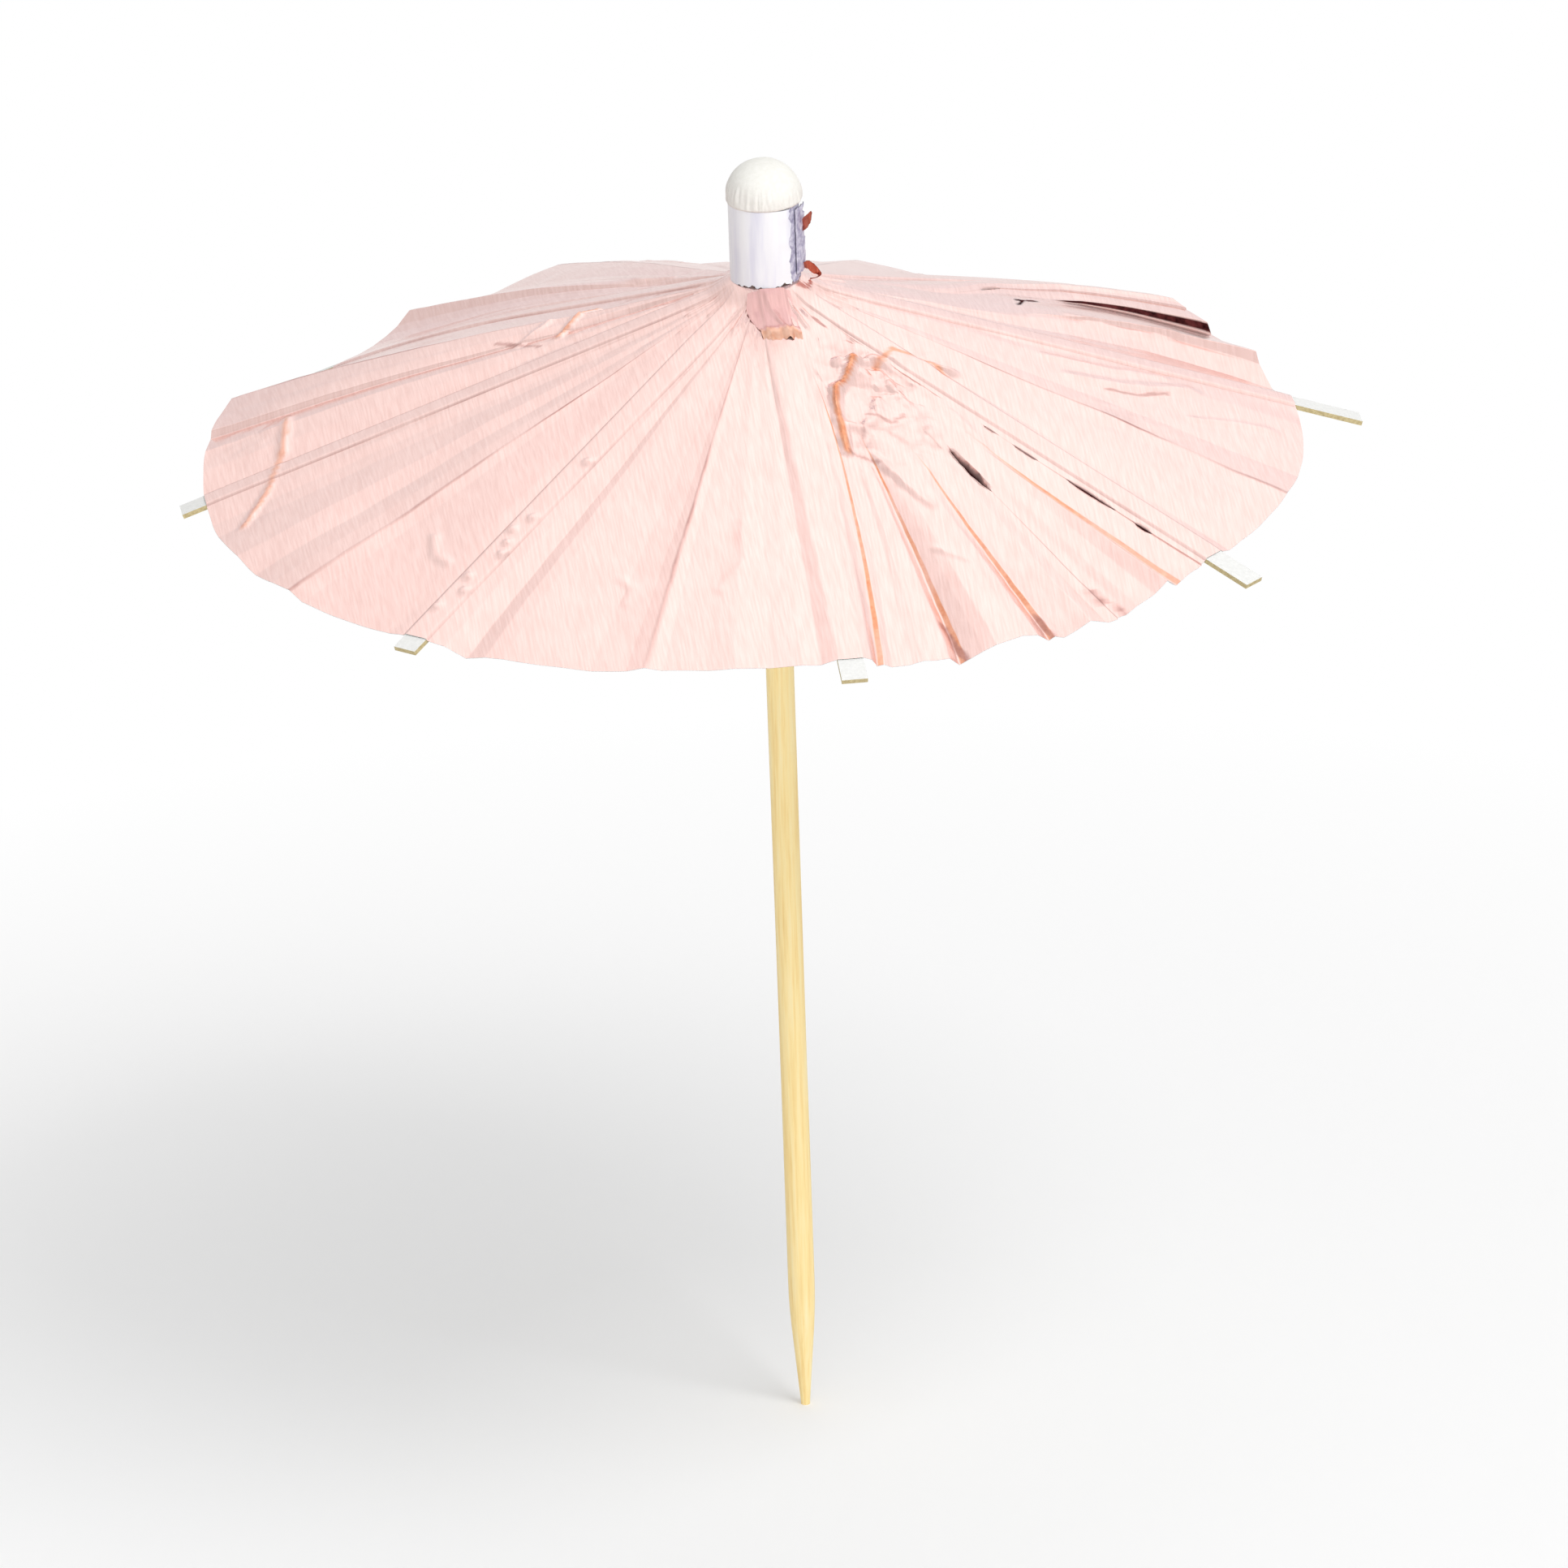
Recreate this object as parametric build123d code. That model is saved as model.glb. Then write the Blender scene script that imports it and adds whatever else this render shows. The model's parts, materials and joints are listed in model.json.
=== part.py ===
from build123d import *
from math import acos, asin, cos, degrees, hypot, radians, sin, tan
import os

# A cocktail umbrella pick, standing open on the point of its stick.
# Millimetres, +Z up along the stick, origin at the stick's point.
# Eight card ribs hinge on creases under the top sleeve. Struts push them up from a band that slides
# on the stick. The paper canopy is glued on the ribs and folds between them.

# Stick
overall_height = 100.0
stick_diameter = 2.1
taper_length = 34.0
seat_diameter = 2.0
seat_length = 16.0
point_length = 10.0
point_shoulder = 3.8
tip_diameter = 0.67

# Finial cap and top sleeve
cap_diameter = 5.8
cap_lift = 0.27
stick_in_cap = 0.5
sleeve_length = 5.9
sleeve_wall = 0.3
sleeve_lap_step = 0.08
sleeve_lap_angle = 70.0

# Card frame
rib_count = 8
open_slope = 19.0
closed_slope = 84.0
card_thickness = 0.35
rib_width = 1.9
rib_neck_width = 1.3
rib_neck_length = 6.0
rib_overhang = 3.2
rib_band_wall = 1.05
rib_band_length = 3.4
strut_station = 20.0
strut_rise = 11.6
strut_width = 1.7
strut_neck_width = 1.3
strut_neck_length = 5.0
strut_tab_length = 5.0
strut_band_length = 5.0

# Spacer roll and retaining ring
spacer_wall = 0.35
spacer_length = 9.0
spacer_above_crease = 1.2
ring_wall = 0.6
ring_length = 1.5
ring_edge_radius = 0.15

# Canopy
rim_radius = 41.0
pleats_per_gore = 5
pleat_depth = 0.9
canopy_thickness = 0.15
collar_height = 2.6

# Clearances
slide_clearance = 0.06
ring_clearance = 0.03
glue_gap = 0.03
crease_gap = 0.3
fold_clearance = 0.1
strut_end_clearance = 0.15
gore_gap = 0.1
sleeve_edge_gap = 0.1
ring_gap = 0.1

# Levels and radii that follow from the sizes above
stick_radius = stick_diameter / 2
cap_centre = overall_height - cap_diameter / 2
sleeve_top = cap_centre - cap_lift
sleeve_bottom = sleeve_top - sleeve_length
stick_top = sleeve_top + stick_in_cap
rib_band_inner = stick_radius + glue_gap
rib_band_outer = rib_band_inner + rib_band_wall
collar_inner = rib_band_outer + glue_gap
collar_outer = collar_inner + canopy_thickness
sleeve_inner = collar_outer + glue_gap
sleeve_outer = sleeve_inner + sleeve_wall
gore_inner = sleeve_inner + glue_gap
collar_bottom = sleeve_bottom - sleeve_edge_gap

# The canopy's top meets the sleeve's lower edge. Each rib lies under a ridge of the canopy,
# low enough for the paper to fall away to both sides over the rib's width
slope = radians(open_slope)
fold_angle = radians(180 / rib_count / pleats_per_gore)
ridge_fall = tan(slope)
valley_fall = tan(slope) + pleat_depth / rim_radius
side_fall = (valley_fall - ridge_fall * cos(fold_angle)) / sin(fold_angle)
canopy_drop = canopy_thickness / cos(slope)
canopy_apex = collar_bottom + gore_inner * ridge_fall
rib_drop = card_thickness / 2 / cos(slope) + side_fall * rib_width / 2 + glue_gap
rib_crease_radius = rib_band_outer
rib_crease_height = canopy_apex - rib_crease_radius * ridge_fall - canopy_drop - rib_drop
rib_length = (rim_radius - rib_crease_radius) / cos(slope) + rib_overhang
rib_band_bottom = rib_crease_height + crease_gap

# The struts' upper creases lie under their tabs, which are glued under the ribs, and their lower ends
# lie beside the strut band
strut_crease_depth = card_thickness / 2 + card_thickness + fold_clearance / 2
spacer_inner = stick_radius + slide_clearance
spacer_outer = spacer_inner + spacer_wall
strut_band_inner = spacer_outer + glue_gap
strut_band_outer = strut_band_inner + card_thickness
strut_end_radius = strut_band_outer + strut_end_clearance + fold_clearance / 2 + card_thickness


def strut_crease(rib_slope):
    """Radius and height of a strut's upper crease when its rib slopes down by rib_slope."""
    radius = rib_crease_radius + strut_station * cos(rib_slope) - strut_crease_depth * sin(rib_slope)
    height = rib_crease_height - strut_station * sin(rib_slope) - strut_crease_depth * cos(rib_slope)
    return radius, height


# The length that lifts each upper crease above the strut's lower end by strut_rise in the open umbrella
crease_radius, crease_height = strut_crease(slope)
strut_length = hypot(crease_radius - strut_end_radius, strut_rise)


def strut_slope(rib_slope):
    """How far a strut slopes down, inwards, when its lower end lies beside the strut band."""
    return acos((strut_crease(rib_slope)[0] - strut_end_radius) / strut_length)


def strut_end_height(rib_slope):
    return strut_crease(rib_slope)[1] - strut_length * sin(strut_slope(rib_slope))


open_strut_slope = strut_slope(slope)
strut_band_top = strut_end_height(slope)
strut_band_bottom = strut_band_top - strut_band_length
spacer_bottom = strut_band_top + spacer_above_crease - spacer_length
ring_inner = stick_radius + ring_clearance
ring_bottom = spacer_bottom - ring_gap - ring_length
runner_travel = strut_band_top - strut_end_height(radians(closed_slope))


def tube(inner, outer, length, bottom):
    return Pos(0, 0, bottom) * extrude(Circle(outer) - Circle(inner), length)


def wedge(corner, half_angle, reach):
    """A triangle that opens along +X from a corner on the X axis."""
    side = (corner + reach * cos(half_angle), reach * sin(half_angle))
    return make_face(Polyline((corner, 0), (side[0], -side[1]), side, close=True))


def strip(width, neck_width, neck_length, length):
    """A card strip along +X, from a gap beside its crease to its length, with its neck at the crease."""
    outline = Polyline(
        (crease_gap, -neck_width / 2),
        (crease_gap + neck_length, -width / 2),
        (length, -width / 2),
        (length, width / 2),
        (crease_gap + neck_length, width / 2),
        (crease_gap, neck_width / 2),
        close=True,
    )
    return extrude(make_face(outline), card_thickness)


def make_stick():
    """A blunt point, a rounded shoulder, a straight seat and a slight taper up to the full diameter."""
    seat_radius = seat_diameter / 2
    seat_top = point_length + seat_length
    tip_radius = tip_diameter / 2
    point_lean = (seat_radius - tip_radius) / (point_length - point_shoulder / 2)
    shoulder_bottom = point_length - point_shoulder
    shoulder = (tip_radius + point_lean * shoulder_bottom, shoulder_bottom)
    outline = Curve() + [
        Polyline((0, 0), (tip_radius, 0), shoulder),
        TangentArc((seat_radius, point_length), shoulder, tangent=(0, -1)),
        Polyline(
            (seat_radius, point_length),
            (seat_radius, seat_top),
            (stick_radius, seat_top + taper_length),
            (stick_radius, stick_top),
            (0, stick_top),
            (0, 0),
        ),
    ]
    return revolve(Plane.XZ * make_face(outline), Axis.Z)


def make_cap():
    """A ball that sits on the sleeve's edge, with a neck tucked into the sleeve round the stick."""
    ball_radius = cap_diameter / 2
    edge_angle = -degrees(asin(cap_lift / ball_radius))
    ball = CenterArc((0, cap_centre), ball_radius, edge_angle, 90 - edge_angle)
    neck_radius = sleeve_inner - glue_gap
    neck_bottom = max(rib_band_bottom + rib_band_length, collar_bottom + collar_height) + glue_gap
    bore_radius = stick_radius + glue_gap
    bore_top = stick_top + glue_gap
    outline = Curve() + [
        ball,
        Polyline(
            ball @ 0,
            (neck_radius, sleeve_top),
            (neck_radius, neck_bottom),
            (bore_radius, neck_bottom),
            (bore_radius, bore_top),
            (0, bore_top),
            ball @ 1,
        ),
    ]
    return revolve(Plane.XZ * make_face(outline), Axis.Z)


def make_sleeve():
    """A wound paper sleeve whose last turn ends in a lengthwise lap."""
    lap_outer = sleeve_outer + sleeve_lap_step
    lap_wedge = wedge(0, radians(sleeve_lap_angle / 2), 2 * lap_outer)
    lap = (Circle(lap_outer) - Circle(sleeve_inner)) & lap_wedge
    section = Circle(sleeve_outer) - Circle(sleeve_inner) + lap
    return Pos(0, 0, sleeve_bottom) * extrude(section, sleeve_length)


def make_ring():
    ring = tube(ring_inner, ring_inner + ring_wall, ring_length, ring_bottom)
    outer_edges = ring.edges().filter_by(GeomType.CIRCLE).group_by(SortBy.RADIUS)[-1]
    return fillet(outer_edges, ring_edge_radius)


# The plane of a rib over the X axis: along the rib from its crease, with the canopy's side up
rib_plane = Plane(
    origin=(rib_crease_radius, 0, rib_crease_height),
    x_dir=(cos(slope), 0, -sin(slope)),
    z_dir=(sin(slope), 0, cos(slope)),
)
# The plane of a strut under that rib: along the strut from its upper crease, with the stick's side up
strut_plane = Plane(
    origin=(crease_radius, 0, crease_height),
    x_dir=(-cos(open_strut_slope), 0, -sin(open_strut_slope)),
    z_dir=(-sin(open_strut_slope), 0, cos(open_strut_slope)),
)


def make_rib():
    flat = strip(rib_width, rib_neck_width, rib_neck_length, rib_length)
    return rib_plane * Pos(0, 0, -card_thickness / 2) * flat


def make_strut_tab():
    """The strut's creased end, glued flat under the rib."""
    middle = (strut_station + crease_gap + strut_tab_length / 2, 0, -card_thickness)
    return rib_plane * Pos(*middle) * Box(strut_tab_length, strut_width, card_thickness)


def make_strut():
    """The strut's neck is at its lower end, so the strip is drawn from there and turned round."""
    flat = strip(strut_width, strut_neck_width, strut_neck_length, strut_length)
    turned = Pos(strut_length + crease_gap, 0, 0) * Rot(0, 0, 180) * flat
    return strut_plane * Pos(0, 0, fold_clearance / 2) * turned


def make_gore():
    """The eighth of the pleated disc that is glued on one rib, with valley creases at both sides."""
    reach = 2 * rim_radius
    apex = (0, 0, canopy_apex)

    def crease_point(number):
        angle = number * fold_angle
        fall = ridge_fall if number % 2 == 0 else valley_fall
        return (reach * cos(angle), reach * sin(angle), canopy_apex - reach * fall)

    panels = []
    for number in range(-pleats_per_gore, pleats_per_gore):
        face = make_face(Polyline(apex, crease_point(number), crease_point(number + 1), close=True))
        panels.append(extrude(face, canopy_drop, dir=(0, 0, -1)))
    sheet = panels[0].fuse(*panels[1:])

    # In plan, a ring from collar to rim, half a gap inside the gore's two side creases
    half_gore = pleats_per_gore * fold_angle
    plan = (Circle(rim_radius) - Circle(gore_inner)) & wedge(gore_gap / 2 / sin(half_gore), half_gore, reach)
    column = extrude(plan, overall_height)
    return sheet & column


def export_one(shape, name):
    export_step(shape, f"parts/{name}.step")


def export_round(shape, name):
    """One copy of a piece on each rib, numbered round the stick from the X axis."""
    for number in range(rib_count):
        export_one(Rot(0, 0, 360 / rib_count * number) * shape, f"{name}_{number + 1}")


os.makedirs("parts", exist_ok=True)
export_one(make_stick(), "stick")
export_one(make_cap(), "finial_cap")
export_one(make_sleeve(), "top_sleeve")
export_one(tube(rib_band_inner, rib_band_outer, rib_band_length, rib_band_bottom), "rib_band")
export_one(tube(collar_inner, collar_outer, collar_height, collar_bottom), "canopy_collar")
export_round(make_rib(), "rib")
export_round(make_gore(), "canopy_gore")
export_round(make_strut_tab(), "strut_tab")
export_round(make_strut(), "strut")
export_one(tube(strut_band_inner, strut_band_outer, strut_band_length, strut_band_bottom), "strut_band")
export_one(tube(spacer_inner, spacer_outer, spacer_length, spacer_bottom), "spacer_roll")
export_one(make_ring(), "retaining_ring")

# The joints' places and travel
print(f"rib creases: radius {rib_crease_radius:.4f}, height {rib_crease_height:.4f}")
print(f"strut creases: radius {crease_radius:.4f}, height {crease_height:.4f}")
print(f"rib turn {closed_slope - open_slope:.4f} degrees, runner travel {runner_travel:.4f}")
strut_turn = degrees(strut_slope(radians(closed_slope)) - open_strut_slope) + closed_slope - open_slope
print(f"strut turn against its rib {strut_turn:.4f} degrees")
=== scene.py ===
import json
import math
from collections import namedtuple
from functools import lru_cache

import bmesh
import bpy
import numpy as np
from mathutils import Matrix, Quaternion, Vector, noise


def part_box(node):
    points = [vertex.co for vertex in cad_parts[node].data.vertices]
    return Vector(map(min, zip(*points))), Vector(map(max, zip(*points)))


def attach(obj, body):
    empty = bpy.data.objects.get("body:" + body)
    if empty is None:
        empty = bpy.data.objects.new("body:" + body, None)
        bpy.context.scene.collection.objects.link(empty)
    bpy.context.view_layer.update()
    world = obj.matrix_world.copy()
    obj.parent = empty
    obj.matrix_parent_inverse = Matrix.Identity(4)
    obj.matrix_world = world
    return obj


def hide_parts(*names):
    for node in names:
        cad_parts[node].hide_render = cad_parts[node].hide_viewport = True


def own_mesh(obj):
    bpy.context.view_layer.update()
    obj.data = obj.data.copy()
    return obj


# A cocktail umbrella pick in rose foil paper. Metres, +Z up along the stick, whose point is the origin
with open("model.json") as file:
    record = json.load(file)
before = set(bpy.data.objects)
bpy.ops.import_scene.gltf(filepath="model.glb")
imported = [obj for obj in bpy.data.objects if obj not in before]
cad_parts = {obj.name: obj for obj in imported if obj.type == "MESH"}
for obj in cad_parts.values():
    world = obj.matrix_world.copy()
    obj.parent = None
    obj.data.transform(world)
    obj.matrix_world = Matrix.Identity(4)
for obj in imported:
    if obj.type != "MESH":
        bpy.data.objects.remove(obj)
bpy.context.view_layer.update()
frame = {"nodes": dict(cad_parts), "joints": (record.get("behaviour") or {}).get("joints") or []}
joints = {joint["name"]: joint for joint in frame["joints"]}
MM = 0.001

# The photograph's view
view_azimuth = -7
view_elevation = 22
view_roll = 2
view_target = Vector((0, 0, 50.4 * MM))
view_distance = 1.5
view_width = 116.8 * MM

# Its light: patches of the sky, as (azimuth, elevation, inner and outer radius, all in degrees, level
# inside, level outside), and how far the lamps stand off
sky_patches = [(165, 54, 8, 44, 1.42, 0.84), (150, -2, 8, 40, 1.22, 1.0), (232, 72, 5, 20, 0.88, 1.0),
               (235, 40, 10, 45, 0.86, 1.0)]
lamp_distance = 0.9

# Places that the frame gives
gore_vertices = [vertex.co for vertex in frame["nodes"]["canopy_gore_1"].data.vertices]
ridge_points = [point for point in gore_vertices if abs(point.y) < 0.001 * MM]
rim_radius = max(point.x for point in ridge_points)
hub_radius = min(point.x for point in ridge_points)
rim_ridge = max(point.z for point in ridge_points if point.x > rim_radius - 0.01 * MM)
hub_ridge = max(point.z for point in ridge_points if point.x < hub_radius + 0.01 * MM)
ridge_fall = (hub_ridge - rim_ridge) / (rim_radius - hub_radius)
rib_count = sum(name.startswith("rib_hinge") for name in joints)
rib_step = 2 * math.pi / rib_count
rib_crease = Vector(joints["rib_hinge_1"]["pos_m"])
slope_cos = 1 / math.hypot(1, ridge_fall)
sleeve_low, sleeve_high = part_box("top_sleeve")
cap_low, cap_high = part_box("finial_cap")

# The canopy's paper
card_thickness = 0.35 * MM
paper_thickness = 0.1 * MM
glue_film = 0.02 * MM
rib_half_width = 0.95 * MM
rib_neck_half_width = 0.65 * MM
rib_neck_end = 8.1 * MM
strip_margin = 0.14 * MM
strip_edge = 0.16 * MM
low_strip_edges = {7: 0.06 * MM}
strip_half = rib_half_width + strip_margin
pleat_depth = 1.0 * MM
hub_edge_radius = 2.46 * MM
hub_blend_radius = 4.6 * MM
hub_lift = 0.08 * MM
rim_trim = 0.06 * MM
rim_thinning = 0.2
# How much of a wrinkle shows on a rib
rib_calm = 0.3

# Folds wander, and lean in two sectors, by these shares of a sector
long_wander = 0.006
short_wander = 0.0022
worn_sector = 7
worn_lean = 0.11
sliver_sector = 1
sliver_lean = 0.20

# The rows of the canopy's mesh: how many inside a radius and how many outside it
row_change = 22 * MM
inner_rows = 84
outer_rows = 70

# How the paper folds with the ribs: their slope when folded, the least share of its width that a side
# keeps, and how much wider it stays than it needs to meet its neighbour
folded_slope = math.radians(84)
least_folded_share = 0.1
folded_spare = 1.3


def rib_axes(number):
    """Unit vectors in plan along a rib, outwards, and across it, to the left."""
    angle = (number - 1) * rib_step
    along = Vector((math.cos(angle), math.sin(angle), 0))
    return along, Vector((-along.y, along.x, 0))


def ridge_height(radius):
    return hub_ridge - (radius - hub_radius) * ridge_fall


rib_top = rib_crease.z + card_thickness / 2 / slope_cos + rib_crease.x * ridge_fall
strip_level = rib_top + glue_film + paper_thickness / slope_cos - ridge_height(0)

# The disc was glued on a little off its middle, towards the left front
disc_radius = rim_radius - 0.3 * MM
disc_shift = 2.1 * MM
disc_shift_angle = math.radians(220)

# The ribs at the back hang a little: how far at the rim, from where on
rib_droop = {2: 0.35 * MM, 3: 0.5 * MM, 4: 1.5 * MM}
droop_start = 22 * MM
# Where a hanging rib is cut so that it can bend, in millimetres along it
bend_cuts = range(22, 44)

# Cross-sections of the eight sectors at the rim, from each rib to the next: points as (share of the way,
# level in pleat depths, mark). A face that leads to a point marked fold, worn or for shade is a pleat's
# steep side. Worn sides have lost their colour, and sides marked for shade are painted near black as the
# shade in the fold. A line is a thin dark line of creased foil, darkened partly with painted shade
Fold = namedtuple("Fold", "share level mark", defaults=[""])
sector_folds = {
    1: [(0.05, -0.43), (0.12, -1.11), (0.16, -1.24), (0.20, -0.83), (0.245, -0.21),
        (0.265, 0.59, "fold"), (0.365, 0.09), (0.45, -0.30), (0.494, -0.28), (0.512, 0.56, "deep"),
        (0.60, 0.76), (0.666, 1.28), (0.731, 1.17), (0.792, 0.91), (0.852, 0.54), (0.909, 0.37),
        (0.964, 0.20)],
    2: [(0.04, -0.09), (0.10, -0.39), (0.20, -0.67, "line"), (0.33, -0.75), (0.44, -0.96),
        (0.52, -0.52), (0.62, 0.09, "line"), (0.70, -0.09), (0.76, 0.08), (0.90, -0.02)],
    3: [(0.036, 0.37), (0.10, 0.65), (0.178, 1.18), (0.274, 1.68), (0.35, 2.07, "line"), (0.42, 1.72),
        (0.525, 1.05), (0.577, 0.93), (0.684, 1.26), (0.739, 1.58), (0.793, 1.89),
        (0.835, 1.00, "fold"), (0.87, 0.60), (0.918, 0.26), (0.97, 0.15)],
    4: [(0.10, 0.0), (0.25, 0.28), (0.38, 1.23), (0.46, 2.11), (0.50, 2.50, "line"), (0.60, 2.15),
        (0.70, 1.95), (0.716, 1.43, "fold"), (0.80, 1.45), (0.90, 0.90), (0.96, 0.36)],
    5: [(0.03, -0.10), (0.10, -0.38), (0.17, -0.42), (0.32, -0.14), (0.43, -0.32), (0.52, -0.06),
        (0.60, 0.06, "line"), (0.655, -0.42), (0.74, -0.34), (0.86, -0.16), (0.94, -0.02)],
    6: [(0.05, -0.10), (0.108, -0.75), (0.156, -0.40), (0.20, -0.36), (0.30, -0.50), (0.42, -0.56),
        (0.508, -0.36), (0.551, -0.08, "line"), (0.592, -0.34), (0.70, -0.33), (0.76, -0.20),
        (0.84, -0.28), (0.92, -0.13), (0.965, -0.25)],
    7: [(0.016, -0.18), (0.030, -0.70), (0.048, -0.58, "worn"), (0.066, -0.84), (0.11, -0.88),
        (0.143, -0.74), (0.176, -0.90), (0.209, -0.95), (0.233, -1.62), (0.252, -1.40, "worn"),
        (0.295, -0.92), (0.33, -0.62), (0.40, -0.44), (0.438, -0.70), (0.467, -1.40),
        (0.486, -1.22, "worn"), (0.512, -1.52), (0.552, -1.25), (0.592, -0.92), (0.632, -1.38),
        (0.671, -1.84), (0.690, -1.56, "worn"), (0.741, -1.00), (0.80, -0.58), (0.85, 0.02),
        (0.881, -0.72), (0.902, -0.58, "worn"), (0.937, -0.36), (0.97, -0.30)],
    8: [(0.03, -0.22), (0.09, -0.10), (0.21, -0.17), (0.335, -0.28), (0.42, -0.14, "line"),
        (0.56, -0.45), (0.70, -0.30), (0.88, 0.0)],
}
# The radius in millimetres at which a sector's folds begin, by share. Other sectors fold from the hub
fold_start = {1: [(0.0, 3), (0.20, 12), (0.27, 22), (0.40, 18), (0.52, 27), (0.62, 14), (1.0, 4)],
              3: [(0.0, 3), (0.70, 3), (0.80, 12), (1.0, 3)],
              4: [(0.0, 3), (0.62, 3), (0.70, 9), (1.0, 3)],
              7: [(0.0, 10), (0.06, 10), (0.22, 16), (0.40, 20), (1.0, 21)]}
# How dark the creased foil is painted along each side of a rib, partly its own colour and partly painted
# shade: towards the sector before it, and in its own sector
strip_crease_shades = {1: (0.15, 0.7), 2: (0.3, 0.4), 3: (0.4, 0.3), 4: (0.4, 0.5), 5: (0.7, 0.5), 6: (0.3, 0.2),
                 7: (0.0, 0.1), 8: (0.3, 0.9)}
# Slits in the paper: sector, share, half width as a share, spans of the radius in millimetres, depth
Slit = namedtuple("Slit", "sector share half_width spans depth")
slits = [Slit(7, 0.675, 0.020, [(21.8, 26.6)], 1.0 * MM), Slit(1, 0.61, 0.012, [(20.5, 23.0)], 0.6 * MM),
         Slit(7, 0.984, 0.0065, [(21.0, 22.3), (23.6, 26.0), (28.4, 33.0), (34.6, 36.2)], 0.25 * MM)]
# Wrinkles, as (height, half width, how worn, points as (radius, angle in degrees)), in millimetres
wrinkles = [
    (0.42, 0.75, 0.0, [(10.6, 292), (11.1, 299), (11.8, 308), (13.0, 316), (15.5, 322)]),
    (0.42, 0.60, 1.0, [(11.0, 297), (12.2, 291), (13.4, 284), (15.0, 281.5), (17.5, 280), (20.0, 279)]),
    (0.20, 0.60, 0.0, [(17.2, 281), (17.9, 285), (17.2, 290), (15.2, 294)]),
    (0.18, 0.55, 0.0, [(12.5, 303), (15.5, 301), (19.0, 299), (22.0, 298)]),
    (0.14, 0.50, 0.0, [(14.0, 309), (18.0, 308), (23.0, 306)]),
    (0.16, 0.50, 0.0, [(20.5, 284), (24.0, 286), (27.0, 288)]),
    (0.10, 0.45, 0.0, [(31.0, 285), (33.0, 288)]),
    (0.20, 1.00, 0.0, [(22.5, 345), (25.0, 347), (28.0, 350), (31.0, 354)]),
    (0.14, 0.80, 0.0, [(20.5, 351), (25.0, 353), (29.0, 356)]),
    (0.12, 0.70, 0.0, [(31.5, 345), (34.5, 348), (37.0, 349)]),
    (0.20, 0.50, 0.6, [(36.0, 168), (36.2, 176), (38.0, 184), (40.6, 189)]),
    (0.26, 0.45, 0.8, [(15.6, 168), (14.9, 163), (14.4, 157), (13.4, 152)]),
    (0.16, 0.45, 0.0, [(18.5, 166), (17.0, 160), (16.5, 155)]),
    (0.14, 0.50, 0.0, [(33.0, 214), (34.6, 217), (35.0, 220)]),
    (0.10, 0.50, 0.0, [(33.0, 243), (34.0, 245), (35.6, 245)]),
    (0.10, 0.60, 0.0, [(27.0, 258), (31.0, 259), (34.0, 256)]),
    (0.12, 0.60, 0.0, [(25.0, 20), (29.0, 17), (33.0, 17)]),
    (0.12, 0.60, 0.0, [(24.0, 98), (28.0, 101), (31.0, 100)]),
    (0.12, 0.60, 0.0, [(30.0, 60), (33.0, 65), (35.0, 66)]),
    (0.14, 0.60, 0.0, [(13.0, 70), (17.0, 73), (20.0, 77)]),
    (0.14, 0.60, 0.0, [(12.0, 118), (15.0, 121), (18.0, 119)]),
]
# Marks on the foil, as (worn 0, painted shade 1 or creased foil with painted shade 2, strength, half width,
# points as in the wrinkles)
foil_marks = [
    (1, 1.0, 0.28, [(22.6, 27.6), (24.6, 28.6)]),
    (1, 1.0, 0.24, [(23.2, 27.6), (21.8, 24.0)]),
    (2, 0.6, 0.22, [(25.1, 344.6), (27.2, 346.5), (29.3, 350.2)]),
    (2, 0.8, 0.20, [(5.8, 298.8), (7.0, 300.0)]),
    (2, 0.8, 0.22, [(10.1, 300.9), (10.9, 299.8)]),
    (0, 0.8, 0.28, [(12.1, 302.4), (11.4, 316.0), (14.1, 321.5), (15.5, 319.0)]),
    (2, 0.5, 0.20, [(20.0, 279.5), (21.5, 284.0)]),
    (2, 0.5, 0.18, [(16.5, 288.0), (18.0, 292.5), (17.5, 297.0)]),
    (2, 0.8, 0.35, [(38.0, 281.2), (41.4, 281.9)]),
    (2, 0.9, 0.40, [(38.0, 300.0), (41.2, 300.8)]),
    (2, 0.7, 0.30, [(39.0, 291.4), (41.6, 291.8)]),
    (2, 0.6, 0.22, [(17.0, 170.0), (18.6, 166.0), (20.4, 163.5)]),
]
# Blisters of glue under the paper of the left front rib, as (radius, place across it) in millimetres
bubbled_rib = 6
bubble_places = [(22.5, 0.4), (29.0, 0.3), (30.6, -0.4), (32.0, 0.2), (33.1, 0.6), (36.0, -0.3),
                 (37.4, 0.4), (39.5, -0.5)]
bubble_height = 0.16 * MM
# Crumpled places, as (radius, angle in degrees, reach, depth), with lengths in millimetres
crumpled = [(13.0, 300, 7.5, 0.80), (19.5, 290, 7.0, 0.45), (27, 338, 8.0, 0.10), (15, 165, 6.0, 0.14),
            (38, 170, 5.0, 0.12), (33, 218, 4.0, 0.08), (28, 100, 8.0, 0.08), (30, 62, 7.0, 0.08)]


def smooth_step(low, high, value):
    share = (value - low) / (high - low)
    share = np.clip(share, 0, 1) if isinstance(share, np.ndarray) else min(1.0, max(0.0, share))
    return share * share * (3 - 2 * share)


def wobble(x, y, z):
    """Smooth noise from -1 to 1 at a place in its own space."""
    return noise.noise((x, y, z))


def noise_at(points, size, seed=0.0):
    """Smooth noise from -1 to 1 at plan points, with features of a size in metres."""
    return np.array([wobble(x / size, y / size, seed) for x, y in points])


def facets_at(points, size, seed=0.0):
    """Crumpled facets with sharp creases between them, about -0.5 to 0.5, of a size in metres."""
    near = [noise.voronoi((x / size, y / size, seed))[0] for x, y in points]
    return np.array([distances[1] - distances[0] for distances in near]) - 0.3
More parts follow.
